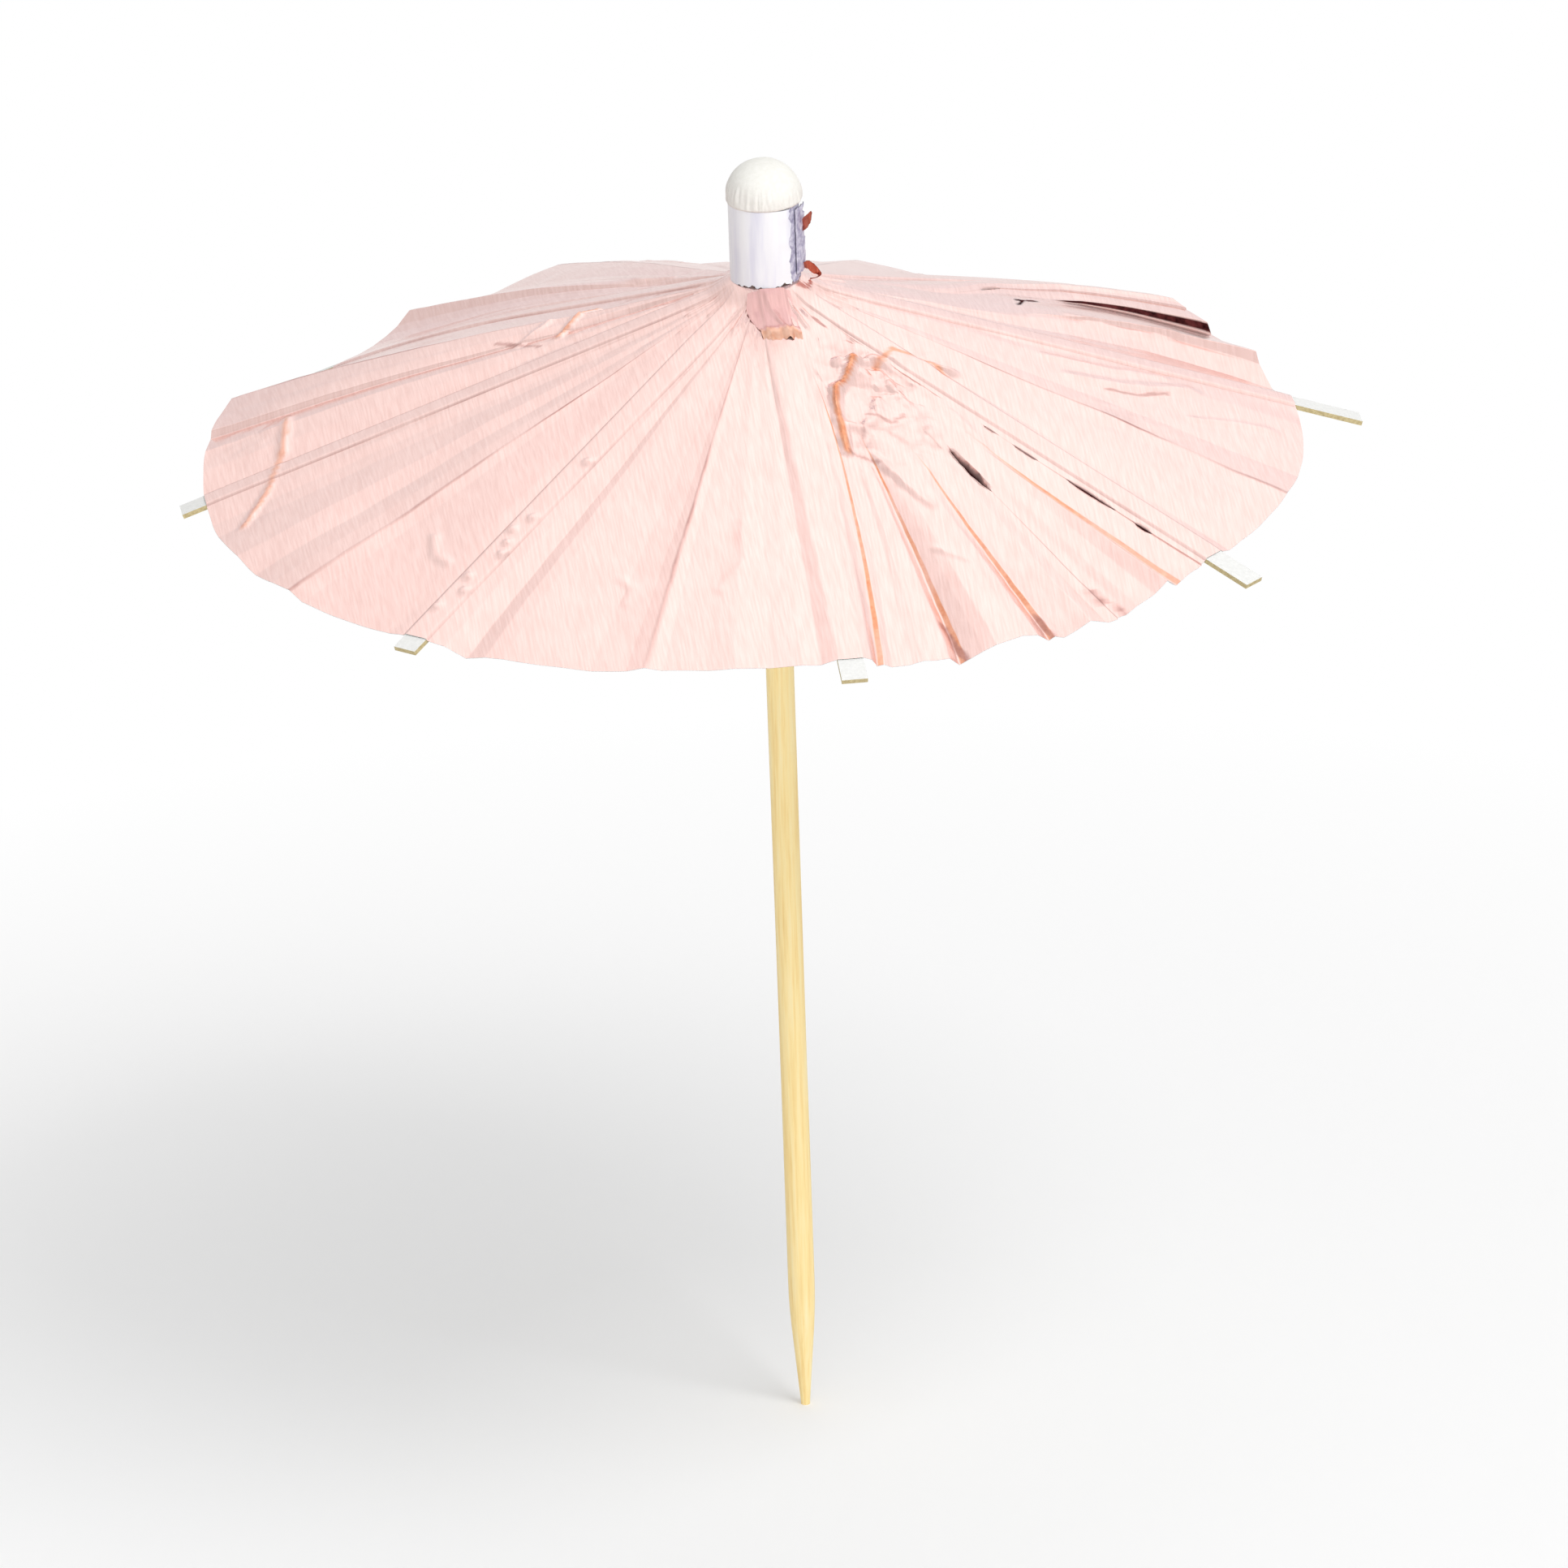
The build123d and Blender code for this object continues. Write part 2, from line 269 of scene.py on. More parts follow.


# A column of the canopy's mesh. A steep face is as narrow as its fold is low, so its columns draw in to the
# crest, its anchor. The columns of a slit draw in to the slit's line
# Each column also carries how worn its foil is, how much shade is painted on it, and how dark its creased
# foil is painted
fields = "kind sector share level anchor slit worn deep crease"
Column = namedtuple("Column", fields, defaults=[None, None, 0.0, 0.0, 0.0])


def sector_columns(sector):
    """Columns across one sector: at the fold points, beside them and between."""
    beside, face_step, steep_step = 0.003, 0.012, 0.005
    beside_crease_shade = 0.8
    after = sector % rib_count + 1
    folds = [Fold(*point) for point in [(0, 0), *sector_folds[sector], (1, 0)]]
    columns = []
    for start, stop in zip(folds, folds[1:]):
        width, height = stop.share - start.share, stop.level - start.level
        anchor = None
        # A steep side that leads to a worn point shows worn foil, and one that leads to a point marked for
        # shade gets painted shade
        if stop.mark in ("fold", "worn", "deep"):
            anchor = stop.share if height > 0 else start.share
        count = max(1, round(width / (face_step if anchor is None else steep_step)))
        places = {index / count for index in range(count)}
        if width > 4 * beside:
            places |= {beside / width, 1 - beside / width}
        for place in sorted(places):
            inner = min(1.0, 4 * place, 4 * (1 - place) if height < 0 else 1.0)
            # Beside a line, and at a rib's edges, the creased foil is painted darker, partly as painted
            # shade
            crease = 0.0
            if start.mark == "line" and place * width <= 1.01 * beside:
                crease = 1.0 if place == 0 else beside_crease_shade
            if stop.mark == "line" and (1 - place) * width <= 1.01 * beside:
                crease = beside_crease_shade
            if not columns:
                crease = strip_crease_shades[sector][1]
            columns.append(Column("sector", sector, start.share + width * place,
                                  start.level + height * place, anchor, None,
                                  inner * (stop.mark == "worn"), inner * (stop.mark == "deep"), crease))
    columns.append(Column("sector", sector, 1.0, 0.0, crease=strip_crease_shades[after][0]))
    for slit in slits:
        if slit.sector == sector:
            columns = cut_slit(columns, slit)
    return columns


def cut_slit(columns, slit):
    """Puts seven columns of a slit in place of the columns that it covers."""
    before = [column for column in columns if column.share < slit.share - slit.half_width]
    after = [column for column in columns if column.share > slit.share + slit.half_width]
    shares = [before[-1].share, after[0].share]
    levels = [before[-1].level, after[0].level]
    inside = []
    for step in (-1.0, -0.7, -0.35, 0.0, 0.35, 0.7, 1.0):
        share = slit.share + step * slit.half_width
        level = float(np.interp(share, shares, levels))
        # The slit's inner columns get near-black painted shade
        deep = float(abs(step) < 0.9)
        inside.append(Column("sector", slit.sector, share, level, slit.share, slit, deep=deep))
    return before + inside + after


def split_sector(sector):
    """The two halves of a sector's columns. They share the fold point nearest the middle."""
    columns = sector_columns(sector)
    fold_shares = [fold[0] for fold in sector_folds[sector]]
    middle = min(fold_shares, key=lambda share: abs(share - 0.5))
    index = min(range(len(columns)), key=lambda place: abs(columns[place].share - middle))
    return columns[:index + 1], columns[index:]


def strip_half_angle(radius):
    """Half the angle that the paper on a rib covers. The rib narrows towards its crease."""
    neck_share = min(1, (radius - rib_crease.x) / (rib_neck_end - rib_crease.x))
    half_width = rib_neck_half_width + (rib_half_width - rib_neck_half_width) * neck_share
    return math.asin((half_width + strip_margin) / radius)


def canopy_columns(number):
    """The columns of one gore, from the middle of a sector, over the rib, to the middle of the next."""
    before = (number - 2) % rib_count + 1
    strip_columns = 14
    places = [2 * index / strip_columns - 1 for index in range(1, strip_columns)]
    strip = [Column("strip", number, place, 0) for place in places]
    return split_sector(before)[1] + strip + split_sector(number)[0]


@lru_cache(maxsize=None)
def fold_begin(sector, share):
    marks = fold_start.get(sector, [(0.0, 0), (1.0, 0)])
    return MM * float(np.interp(share, *zip(*marks)))


def fold_growth(column, radius):
    """How far a fold has opened at a radius, from 0 where it begins to 1 at the rim."""
    start = fold_begin(column.sector, column.share if column.anchor is None else column.anchor)
    return max(0, radius - start) / (column_radius(column, disc_radius) - start)


def droop(number, radius):
    """How far a rib and its paper hang below the straight rib."""
    along = max(0, radius - droop_start) / (disc_radius - droop_start)
    return rib_droop.get(number, 0) * along * along


def slit_opening(slit, radius):
    """How far a slit is open at a radius: pointed at both ends, and ragged."""
    for inner, outer in slit.spans:
        if inner * MM < radius < outer * MM:
            along = math.sin(math.pi * (radius / MM - inner) / (outer - inner)) ** 0.7
            return along * (1 + 0.6 * wobble(radius / (0.5 * MM), slit.share * 40, 2.2))
    return 0


def column_radius(column, radius):
    """The radius that a column has on the shifted disc, where a centred disc has the given one."""
    turn = (column.sector - 1) * rib_step
    if column.kind == "sector":
        turn += column.share * rib_step
    return radius + disc_shift * (radius / disc_radius) ** 2 * math.cos(turn - disc_shift_angle)


def column_share(column, radius):
    """Where a column lies at a radius: it wanders a little, and the folds of two sectors lean."""
    sector, share = column.sector, column.share
    place = share if column.anchor is None else column.anchor
    inside = min(1, 12 * place, 12 * (1 - place))
    wander = long_wander * wobble(radius / (8 * MM), place * 9, sector * 3.7)
    wander += short_wander * wobble(radius / (1.3 * MM), place * 15, sector * 5.1)
    from_rim = disc_radius - radius
    if sector == worn_sector:
        lean = worn_lean * min(1.2, from_rim / (22 * MM)) * smooth_step(6 * MM, 14 * MM, radius)
        wander -= lean * ((place - 0.5) / 0.45) ** 3
    if sector == sliver_sector:
        lean = sliver_lean * min(1, from_rim / (11 * MM)) * smooth_step(14 * MM, 24 * MM, radius)
        wander += lean * max(0, 1 - ((place - 0.51) / 0.45) ** 2)
    if column.anchor is not None:
        opening = slit_opening(column.slit, radius) if column.slit else fold_growth(column, radius) ** 0.4
        share = column.anchor + (share - column.anchor) * (0.06 + 0.94 * opening)
    return share + wander * inside


def column_angle(column, radius):
    half = strip_half_angle(radius)
    rib_angle = (column.sector - 1) * rib_step
    if column.kind == "strip":
        return rib_angle + column.share * half
    return rib_angle + half + column_share(column, radius) * (rib_step - 2 * half)


def column_level(column, radius):
    """Height above the ridges' cone: flat on the rib, then a small step down to the pleats."""
    if column.kind == "strip":
        edge = low_strip_edges.get(column.sector, strip_edge)
        return strip_level - edge * abs(column.share) ** 12 - droop(column.sector, radius)
    after = column.sector % rib_count + 1
    edge = low_strip_edges.get(column.sector, strip_edge) * (1 - column.share)
    edge += low_strip_edges.get(after, strip_edge) * column.share
    level = strip_level - edge + column.level * pleat_depth * fold_growth(column, radius)
    level -= droop(column.sector, radius) * (1 - column.share) + droop(after, radius) * column.share
    if column.slit:
        inwards = 1 - abs(column.share - column.slit.share) / column.slit.half_width
        level -= column.slit.depth * min(1, 2 * inwards) * min(1, 1.5 * slit_opening(column.slit, radius))
    return level


def folded_share(sector, side):
    """How narrow a gore's paper gets as the ribs fold, so that it meets the next gore's paper at their
    seam. Side 1 is the paper after the sector's first rib, and -1 that before its second rib."""
    seam = split_sector(sector)[0][-1]
    radius = column_radius(seam, disc_radius)
    turn = column_angle(seam, radius) - (sector - 1) * rib_step
    if side < 0:
        turn = rib_step - turn
    along = radius * math.cos(turn)
    rise = column_level(seam, radius) - strip_level - (radius - along) * ridge_fall
    away = rib_crease.x + (along - rib_crease.x) / slope_cos * math.cos(folded_slope) + rise * slope_cos
    share = (away * math.tan(turn) - strip_half) / (radius * math.sin(turn) - strip_half)
    return max(least_folded_share, folded_spare * share)


def column_wear_and_shade(column, radius):
    """How worn the foil is in a column, how much shade is painted on it, and how dark its creased foil is
    painted, partly as painted shade, each from 0 to 1.
    """
    broken = wobble(radius / (5 * MM), column.share * 7, column.sector)
    crease = column.crease * (0.55 + 0.9 * broken) * smooth_step(3 * MM, 8 * MM, radius)
    if column.slit:
        return 0, column.deep * float(slit_opening(column.slit, radius) > 0.12), 0
    start = fold_begin(column.sector, column.share if column.anchor is None else column.anchor)
    tone = 0.80 + 0.5 * wobble(radius / (3.5 * MM), column.share * 21, 4.1)
    worn = column.worn * tone * smooth_step(start, start + 6 * MM, radius)
    return worn, column.deep * smooth_step(start, start + 2 * MM, radius), max(0, crease)


def paper_calm(column):
    """How freely the paper dents in a column: not at all on the rib, fully away from it."""
    return 0 if column.kind == "strip" else smooth_step(0, 0.05, min(column.share, 1 - column.share))


def crumple_depth(points, radius):
    """How far down the paper is crumpled at plan points: a little round the hub, and more in some places.
    """
    hub_depth = 0.07 * MM
    hub_share = smooth_step(3 * MM, 6 * MM, radius) * (1 - smooth_step(9 * MM, 20 * MM, radius))
    depth = np.full(len(points), hub_depth * hub_share)
    for centre, angle, reach, most in crumpled:
        away = np.linalg.norm(points - plan_point(centre, angle), axis=1) / MM
        depth = np.maximum(depth, most * MM * (1 - smooth_step(0.2 * reach, reach, away)))
    return depth


def sheet_offset(points, radius):
    """Dents and crumples of the paper away from the ribs, and how sharp the crumples' folds are, which sets
    how dark their creased foil is painted, partly as painted shade.
    """
    large_dent, small_dent, rim_dent = 0.22 * MM, 0.05 * MM, 0.16 * MM
    least_depth = 0.002 * MM
    crease_edge, crease_width, sharpest = -0.20, 0.10, 0.5
    offset = large_dent * noise_at(points, 11 * MM, 7.7) + small_dent * noise_at(points, 3.5 * MM, 1.3)
    offset = offset * smooth_step(4 * MM, 14 * MM, radius)
    depth = crumple_depth(points, radius)
    rim_share = smooth_step(36 * MM, 41 * MM, radius)
    offset += rim_dent * rim_share * noise_at(points, 6 * MM, 5.2)
    crease_shades = np.zeros(len(points))
    rough = depth > least_depth
    if rough.any():
        large, small = facets_at(points[rough], 3.4 * MM, 3.1), facets_at(points[rough], 1.5 * MM, 6.4)
        offset[rough] += (large + 0.4 * small) * depth[rough]
        broken = np.clip(1.6 * noise_at(points[rough], 1.9 * MM, 9.3), 0, 1)
        sharp = np.clip(crease_edge - large, 0, crease_width) / crease_width
        crease_shades[rough] = sharp * np.clip(depth[rough] / MM, 0, sharpest) * broken
    return offset, crease_shades


def plan_point(radius, angle):
    """A point in plan, from a radius in millimetres and an angle in degrees."""
    turn = math.radians(angle)
    return radius * MM * np.array((math.cos(turn), math.sin(turn)))


def ragged_distance(points, line, close, rough, size, seed):
    """How far plan points lie from a line of (radius, angle) points, uneven where they lie close to it."""
    nearest = np.full(len(points), np.inf)
    ends = [plan_point(radius, angle) for radius, angle in line]
    for start, stop in zip(ends, ends[1:]):
        along = stop - start
        share = np.clip((points - start) @ along / (along @ along), 0, 1)
        away = np.linalg.norm(points - start - share[:, None] * along, axis=1)
        nearest = np.minimum(nearest, away)
    near = nearest < close
    if near.any():
        nearest[near] += rough * noise_at(points[near], size, seed)
    return nearest


def hub_gathers():
    """Short gathers of the paper where it goes in under the sleeve, as wrinkles."""
    count = 44
    half_width = 0.26
    gathers = []
    for index in range(count):
        angle = 360 * index / count + 3 * wobble(index * 0.7, 0.3, 0.9)
        length = 3.2 + 2.4 * wobble(index * 1.3, 4.4, 0.2)
        height = 0.10 + 0.07 * wobble(index * 2.1, 1.7, 5.5)
        gathers.append((height, half_width, 0.0, [(2.6, angle), (2.9 + length, angle + 2 * (length - 3))]))
    return gathers


def wrinkle_height(points, lines):
    """Ridges along the wrinkles, like a tent over each line."""
    total = np.zeros(len(points))
    for height, half_width, _, line in lines:
        reach = half_width * MM
        away = ragged_distance(points, line, 1.3 * reach, 0.25 * reach, 1.1 * MM, height * 9)
        total = np.maximum(total, height * MM * np.clip(1 - away / reach, 0, 1))
    return total


def glue_bubbles(points):
    """Small blisters of glue under the paper of one rib."""
    along, across = [np.array(axis.xy) for axis in rib_axes(bubbled_rib)]
    bubbles = np.zeros(len(points))
    for distance, side in bubble_places:
        away = np.linalg.norm(points - along * distance * MM - across * side * MM, axis=1)
        bubbles += bubble_height * (1 - smooth_step(0.1 * MM, 0.65 * MM, away))
    return bubbles


def wrinkle_wear(points):
    """Worn foil along the sharpest wrinkles."""
    worn = np.zeros(len(points))
    for _, half_width, amount, line in wrinkles:
        if amount:
            away = ragged_distance(points, line, MM, 0.12 * MM, 0.8 * MM, 2.9)
            worn = np.maximum(worn, amount * np.clip(2.2 - 4 * away / (half_width * MM), 0, 1))
    return worn


def mark_foil(points, row_wear_and_shade):
    """Adds the marks on the foil to a row: worn foil, painted shade, and creased foil darkened partly with
    painted shade.
    """
    for kind, strength, half_width, line in foil_marks:
        reach = half_width * MM
        away = ragged_distance(points, line, 2 * reach, 0.5 * reach, 0.6 * MM, 1.9)
        amount = strength * np.clip(2 - 2 * away / reach, 0, 1)
        row_wear_and_shade[:, kind] = np.maximum(row_wear_and_shade[:, kind], amount)


def grid_normals(grid):
    """Unit normals of a grid of points, on the side where its rows run down and columns to the right."""
    normals = np.cross(np.gradient(grid, axis=0), np.gradient(grid, axis=1))
    return normals / np.maximum(np.linalg.norm(normals, axis=2, keepdims=True), 1e-12)


def canopy_gore(number, foil, paper):
    """An eighth of the canopy: the paper on the rib and the pleated paper on both sides, foil above."""
    columns = canopy_columns(number)
    calm = np.array([paper_calm(column) for column in columns])
    rows = np.concatenate((np.linspace(hub_edge_radius, row_change, inner_rows, endpoint=False),
                           np.linspace(row_change, disc_radius, outer_rows)))
    lines = wrinkles + hub_gathers()
    top, wear_and_shade = [], []
    for row in rows:
        radii = np.array([column_radius(column, row) for column in columns])
        both = list(zip(columns, radii))
        angles = np.array([column_angle(column, radius) for column, radius in both])
        levels = np.array([column_level(column, radius) for column, radius in both])
        row_wear_and_shade = np.array([column_wear_and_shade(column, radius) for column, radius in both])
        directions = np.column_stack((np.cos(angles), np.sin(angles)))
        points = radii[:, None] * directions
        offsets, crease_shades = sheet_offset(points, row)
        levels = levels + offsets * calm + glue_bubbles(points)
        levels = levels + wrinkle_height(points, lines) * np.maximum(calm, rib_calm)
        open_share = smooth_step(hub_edge_radius, hub_blend_radius, row)
        levels = hub_lift * (1 - open_share) + levels * open_share
        trim = rim_trim * smooth_step(disc_radius - MM, disc_radius, row)
        trim = trim * (1 + noise_at(points, 2.6 * MM, 8.8))
        points = points - directions * trim[:, None]
        row_wear_and_shade[:, 0] = np.maximum(row_wear_and_shade[:, 0], wrinkle_wear(points))
        # The crumples' creased foil is painted darker, partly as painted shade
        row_wear_and_shade[:, 2] = np.maximum(row_wear_and_shade[:, 2], crease_shades * calm)
        mark_foil(points, row_wear_and_shade)
        top.append(np.column_stack((points, ridge_height(radii) + levels)))
        wear_and_shade.append(row_wear_and_shade)
    top, wear_and_shade = np.array(top), np.array(wear_and_shade)
    thickness = np.full(len(rows), paper_thickness / slope_cos)
    thickness[-1] *= rim_thinning
    bottom = top - thickness[:, None, None] * np.array((0, 0, 1))
    on_rib = [index for index, column in enumerate(columns) if column.kind == "strip"]
    start, stop = on_rib[0] - 1, on_rib[-1] + 2
    spans = {"before": slice(0, start + 1), "ridge": slice(start, stop),
             "after": slice(stop - 1, len(columns))}
    normals = grid_normals(top)
    pieces = []
    for name, span in spans.items():
        piece = sheet_piece(f"canopy_{number}_{name}", top[:, span], bottom[:, span], [foil, paper],
                            normals[:, span])
        marks = wear_and_shade[:, span].reshape(-1, 3)
        marks = np.concatenate((marks, np.zeros_like(marks)))
        # Worn foil, painted shade, and creased foil with painted shade, as attributes that the foil's
        # material reads
        for index, kind in enumerate(("worn", "deep", "crease")):
            values = piece.data.attributes.new(kind, "FLOAT", "POINT")
            values.data.foreach_set("value", marks[:, index].astype(np.float32))
        pieces.append(piece)
    return pieces


def sheet_piece(name, top, bottom, materials, normals=None):
    """A closed thin sheet from two grids of points: materials for above, and for below and the edge."""
    places = np.arange(top.shape[0] * top.shape[1]).reshape(top.shape[:2])
    corners = (places[:-1, :-1], places[1:, :-1], places[1:, 1:], places[:-1, 1:])
    upper = np.stack(corners, axis=-1).reshape(-1, 4)
    lower = upper[:, ::-1] + places.size
    rim = np.concatenate((places[0], places[1:, -1], places[-1, -2::-1], places[-2:0:-1, 0]))
    after = np.roll(rim, -1)
    edge = np.column_stack((rim, after, after + places.size, rim + places.size))
    faces = np.concatenate((upper, lower, edge)).tolist()
    piece = new_piece(name, np.concatenate((top, bottom)).reshape(-1, 3), faces, materials)
    indices = [0] * len(upper) + [1] * (len(lower) + len(edge))
    piece.data.polygons.foreach_set("material_index", indices)
    piece.data.polygons.foreach_set("use_smooth", [True] * 2 * len(upper) + [False] * len(edge))
    shading = (grid_normals(top) if normals is None else normals).reshape(-1, 3)
    piece.data.normals_split_custom_set_from_vertices(np.concatenate((shading, -shading)))
    return piece


def sheet_grid(row_count, column_count, place):
    """A grid of points from a function of how far down and along the sheet they lie, each from 0 to 1."""
    return np.array([[place(row / (row_count - 1), column / (column_count - 1))
                      for column in range(column_count)] for row in range(row_count)])


def add_object(name, data):
    """A new object in the scene."""
    holder = bpy.data.objects.new(name, data)
    bpy.context.scene.collection.objects.link(holder)
    return holder


def new_piece(name, points, faces, materials):
    mesh = bpy.data.meshes.new(name)
    mesh.from_pydata([tuple(point) for point in points], [], faces)
    mesh.update()
    for material in materials:
        mesh.materials.append(material)
    return add_object(name, mesh)


def bent_rib(number, card):
    """A rib whose outer part hangs, cut into short lengths so that it can bend."""
    along, _ = rib_axes(number)
    shape = bmesh.new()
    shape.from_mesh(frame["nodes"][f"rib_{number}"].data)
    for distance in bend_cuts:
        parts = shape.verts[:] + shape.edges[:] + shape.faces[:]
        bmesh.ops.bisect_plane(shape, geom=parts, plane_co=along * distance * MM, plane_no=along)
    for vertex in shape.verts:
        vertex.co.z -= droop(number, vertex.co.dot(along))
    mesh = bpy.data.meshes.new(f"bent_rib_{number}")
    shape.to_mesh(mesh)
    shape.free()
    mesh.materials.clear()
    mesh.materials.append(card)
    return add_object(mesh.name, mesh)


# The hub's paper pieces

sleeve_turns = 1.35
sleeve_lap_angle = math.radians(-57)
sleeve_paper_thickness = 0.12 * MM
patch_rib = 7


def sleeve_wrinkle(angle, height):
    """Soft upright wrinkles of the wound sleeve, the same on all its turns."""
    long_depth, short_depth = 0.030 * MM, 0.016 * MM
    x, y = 1.6 * math.cos(angle), 1.6 * math.sin(angle)
    long = wobble(2 * x, 2 * y, height / (9 * MM))
    short = wobble(4.5 * x, 4.5 * y, height / (5 * MM))
    return long_depth * long + short_depth * short


def around_stick(grid, inwards=0):
    """Points from a grid of (radius, angle, height), moved in towards the stick."""
    radius, angle, height = np.moveaxis(grid, -1, 0)
    radius = radius - inwards
    return np.stack((radius * np.cos(angle), radius * np.sin(angle), height), axis=-1)


def wound_sleeve(paper, shaded_lap_paper):
    """The paper sleeve: one strip wound round the hub, with a ragged hem and a torn lap, near whose end the
    paper is painted violet-grey as shade.
    """
    row_count, column_count = 34, 230
    total = sleeve_turns * 2 * math.pi
    start_radius, rise_per_turn, lap_lift = 2.495 * MM, 0.165 * MM, 0.10 * MM
    hem_drop, hem_depth, top_wave = 0.12 * MM, 0.50 * MM, 0.04 * MM
    lap_shade_start, lap_shade_stop = -0.2, 1.25

    def wall(down, along):
        torn = 0.10 * wobble(down * 9, 0.4, 2.6) + 0.05 * wobble(down * 31, 1.4, 2.6)
        angle = sleeve_lap_angle - total * (1 - along) + torn * along ** 8
        x, y = 2.2 * math.cos(angle), 2.2 * math.sin(angle)
        hem = 0.7 * wobble(0.8 * x, 0.8 * y, 3.3) + abs(wobble(2.4 * x, 2.4 * y, 8.3))
        hem += 0.5 * abs(wobble(5.5 * x, 5.5 * y, 4.1))
        low = sleeve_low.z - hem_drop + hem_depth * max(0, hem - 0.18)
        high = sleeve_high.z - top_wave * (1 + wobble(x, y, 6.1))
        z = high + (low - high) * down
        radius = start_radius + rise_per_turn * sleeve_turns * along + sleeve_wrinkle(angle, z)
        return radius + lap_lift * smooth_step(0.955, 1.0, along), angle, z

    grid = sheet_grid(row_count, column_count, wall)
    thinner = 1 - 0.8 * smooth_step(0.85, 1.0, np.linspace(0, 1, row_count))[:, None]
    inner = around_stick(grid, sleeve_paper_thickness * thinner)
    piece = sheet_piece("sleeve_wrap", around_stick(grid), inner, [paper, paper, shaded_lap_paper])
    # Near the lap's end the paper is painted violet-grey, as shade
    for row in range(row_count - 1):
        ragged = 0.16 * wobble(row * 0.35, 2.2, 0.7)
        for column in range(column_count - 1):
            bare = 2 * math.pi - total * (1 - column / (column_count - 1))
            if lap_shade_start < bare < lap_shade_stop + ragged:
                piece.data.polygons[row * (column_count - 1) + column].material_index = 2
    return piece


def lap_flap(shaded_lap_paper):
    """The torn end of the sleeve's lap, which stands off on the right, painted violet-grey as shade."""
    start_angle, width = math.radians(-38), math.radians(46)
    top_gap, height, thickness = 0.35 * MM, 5.1 * MM, 0.07 * MM
    least_radius, most_lift = 2.70 * MM, 0.36 * MM
    crinkle, edge_wave = 0.06 * MM, 0.10 * MM

    def wall(down, along):
        reach = 0.80 + 0.28 * wobble(down * 6, 3.7, 1.1) + 0.12 * wobble(down * 23, 0.7, 1.1)
        angle = start_angle + width * along * reach
        z = sleeve_high.z - top_gap - height * down
        radius = least_radius + most_lift * (along * reach) ** 1.6 + sleeve_wrinkle(angle, z)
        radius += crinkle * along * wobble(down * 14, along * 3, 4.9)
        if down in (0, 1):
            z += edge_wave * wobble(along * 5, 7.7, float(down == 0))
        return radius, angle, z

    grid = sheet_grid(40, 26, wall)
    return sheet_piece("sleeve_flap", around_stick(grid), around_stick(grid, thickness), [shaded_lap_paper, shaded_lap_paper])


def tissue_cap(tissue):
    """The finial: a ball of tissue, gathered round its lower edge and tucked into the sleeve."""
    column_count, ball_rows = 220, 40
    ball_start, gather_depth, lump_depth, top_gap = 0.10 * MM, 0.12 * MM, 0.05 * MM, 0.01 * MM
    fullness = 0.96
    neck = [(2.28, -1.2), (2.30, -0.10), (2.62, -0.02), (2.72, -0.02)]
    ball_radius = (cap_high.x - cap_low.x) / 2
    centre = cap_high.z - ball_radius
    profile = [(radius * MM, sleeve_high.z + height * MM) for radius, height in neck]
    low = math.asin((sleeve_high.z + ball_start - centre) / ball_radius)
    for index in range(ball_rows):
        turn = low + (math.pi / 2 - low) * index / ball_rows
        profile.append((ball_radius * math.cos(turn) ** fullness, centre + ball_radius * math.sin(turn)))
    points = []
    for radius, z in profile:
        rise = (z - sleeve_high.z) / ball_radius
        gathered = smooth_step(-0.02, 0.05, rise) * (1 - smooth_step(0.15, 0.75, rise))
        for column in range(column_count):
            angle = 2 * math.pi * column / column_count
            x, y = math.cos(angle), math.sin(angle)
            pinch = abs(wobble(9 * x, 9 * y, rise * 1.2))
            pinch += 0.6 * abs(wobble(21 * x, 21 * y, 3 + rise))
            lump = wobble(1.3 * x, 1.3 * y, rise * 2)
            inwards = gather_depth * gathered * (1 - pinch * 1.4) + lump_depth * (1 + lump) * (rise > 0)
            points.append(((radius - inwards) * x, (radius - inwards) * y, z))
    points.append((0, 0, cap_high.z - top_gap))
    ring = [(column, (column + 1) % column_count) for column in range(column_count)]
    last = (len(profile) - 1) * column_count
    faces = [(start + column, start + after, start + column_count + after, start + column_count + column)
             for start in range(0, last, column_count) for column, after in ring]
    faces += [(last + column, last + after, len(points) - 1) for column, after in ring]
    faces.append(tuple(reversed(range(column_count))))
    piece = new_piece("tissue_ball", points, faces, [tissue])
    piece.data.polygons.foreach_set("use_smooth", [True] * (len(faces) - 1) + [False])
    return piece


